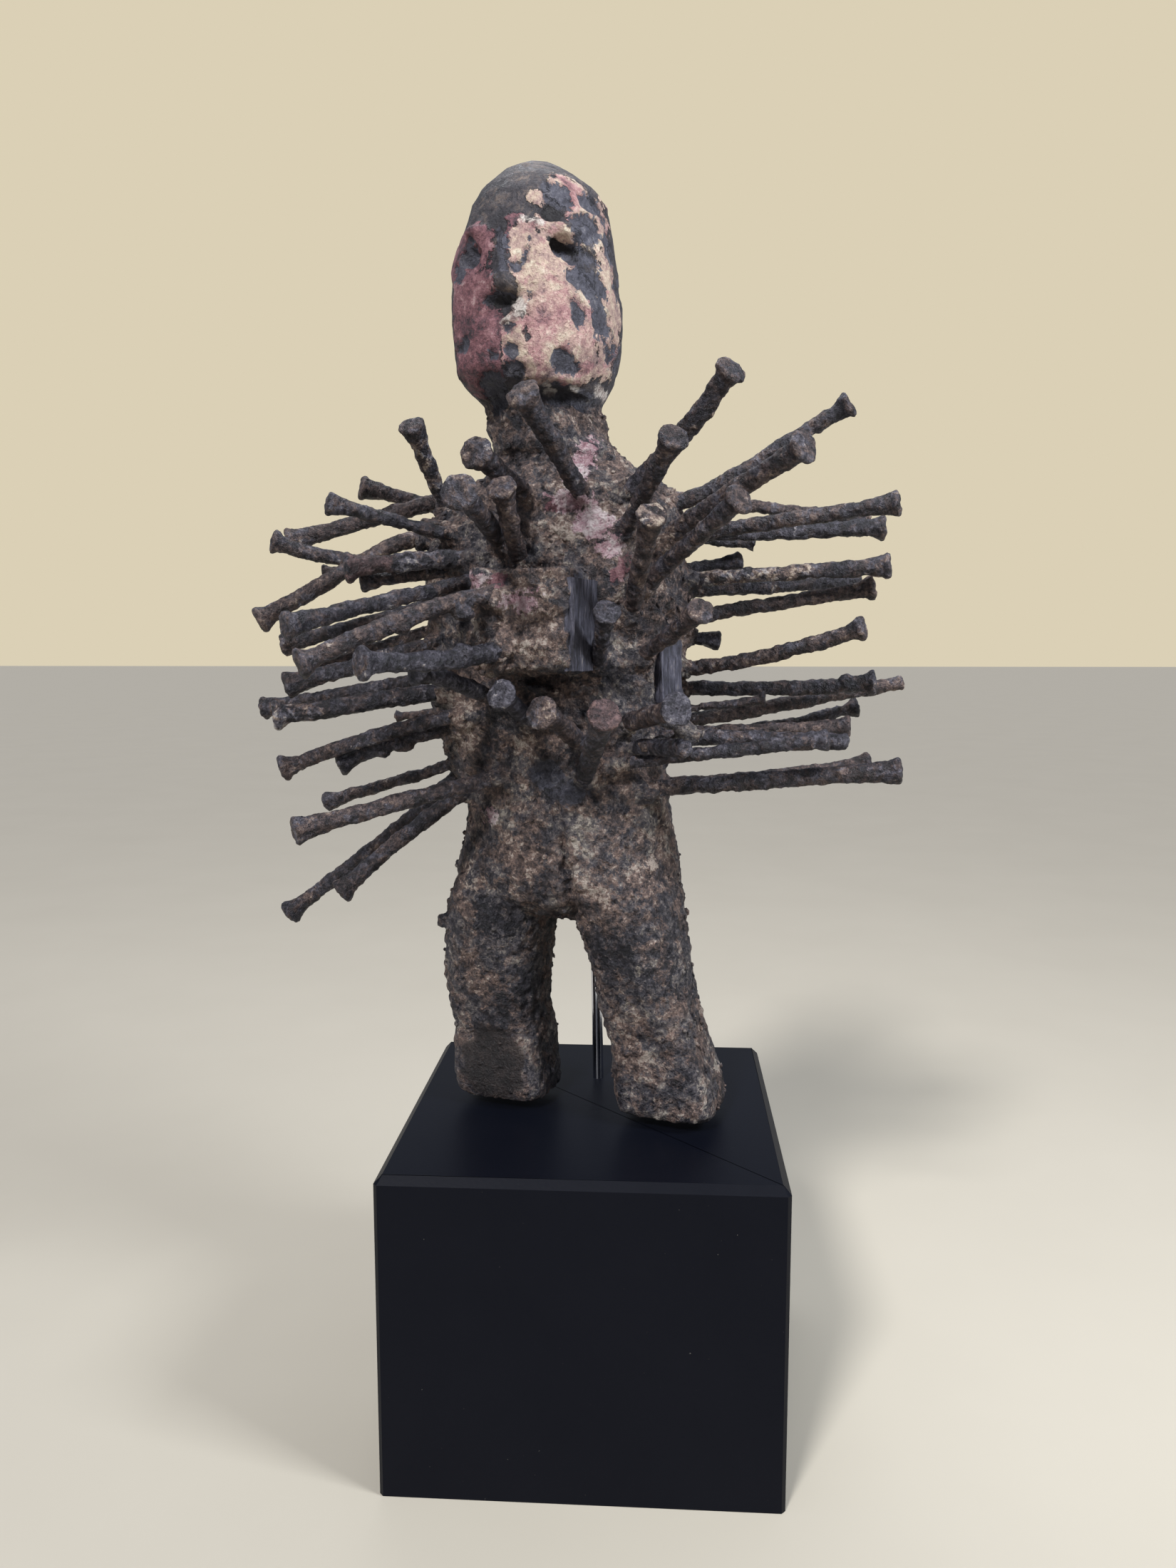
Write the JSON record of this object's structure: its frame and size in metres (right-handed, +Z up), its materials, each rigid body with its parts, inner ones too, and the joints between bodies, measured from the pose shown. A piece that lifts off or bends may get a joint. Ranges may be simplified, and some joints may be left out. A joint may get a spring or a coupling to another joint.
{
  "type": "nail power figure on a rod and block",
  "caption": "Carved standing wooden figure with a raised belly pack, bristling with old bent iron nails, held by a steel rod on a black block.",
  "frame": {"origin": "middle of the black block's underside", "axes": "+Z up, +X to the block's right seen from its front, -Y out of the block's front; the figure is turned 17 degrees toward -X"},
  "size_m": [0.3621, 0.2298, 0.675],
  "materials": {
    "carved_wood": "thick brown-grey ritual crust, with peeling pale, pink and dark paint on the head",
    "nail_iron": "old dark rusty wrought iron, crusted",
    "rod_steel": "polished",
    "block_lacquer": "satin black lacquer"
  },
  "bodies": {
    "root": {"figure": "carved_wood", "mount_rod": "rod_steel", "mount_block": "block_lacquer", "nail_left_01": "nail_iron", "nail_left_02": "nail_iron", "nail_left_03": "nail_iron", "nail_left_04": "nail_iron", "nail_left_05": "nail_iron", "nail_left_06": "nail_iron", "nail_left_07": "nail_iron", "nail_left_08": "nail_iron", "nail_left_09": "nail_iron", "nail_left_10": "nail_iron", "nail_left_11": "nail_iron", "nail_left_12": "nail_iron", "nail_left_13": "nail_iron", "nail_left_14": "nail_iron", "nail_left_15": "nail_iron", "nail_left_16": "nail_iron", "nail_left_17": "nail_iron", "nail_left_18": "nail_iron", "nail_left_19": "nail_iron", "nail_left_20": "nail_iron", "nail_left_21": "nail_iron", "nail_left_22": "nail_iron", "nail_left_23": "nail_iron", "nail_left_24": "nail_iron", "nail_left_25": "nail_iron", "nail_left_26": "nail_iron", "nail_front_01": "nail_iron", "nail_front_02": "nail_iron", "nail_front_03": "nail_iron", "nail_front_04": "nail_iron", "nail_front_05": "nail_iron", "nail_front_06": "nail_iron", "nail_right_01": "nail_iron", "nail_right_02": "nail_iron", "nail_right_03": "nail_iron", "nail_right_04": "nail_iron", "nail_right_05": "nail_iron", "nail_right_06": "nail_iron", "nail_right_07": "nail_iron", "nail_right_08": "nail_iron", "nail_right_09": "nail_iron", "nail_right_10": "nail_iron", "nail_right_11": "nail_iron", "nail_right_12": "nail_iron", "nail_right_13": "nail_iron", "nail_right_14": "nail_iron", "nail_right_15": "nail_iron", "nail_right_16": "nail_iron", "nail_right_17": "nail_iron", "nail_right_18": "nail_iron", "nail_right_19": "nail_iron", "nail_right_20": "nail_iron", "nail_right_21": "nail_iron", "nail_right_22": "nail_iron", "nail_right_23": "nail_iron", "nail_right_24": "nail_iron", "nail_right_25": "nail_iron"}
  },
  "joints": []
}
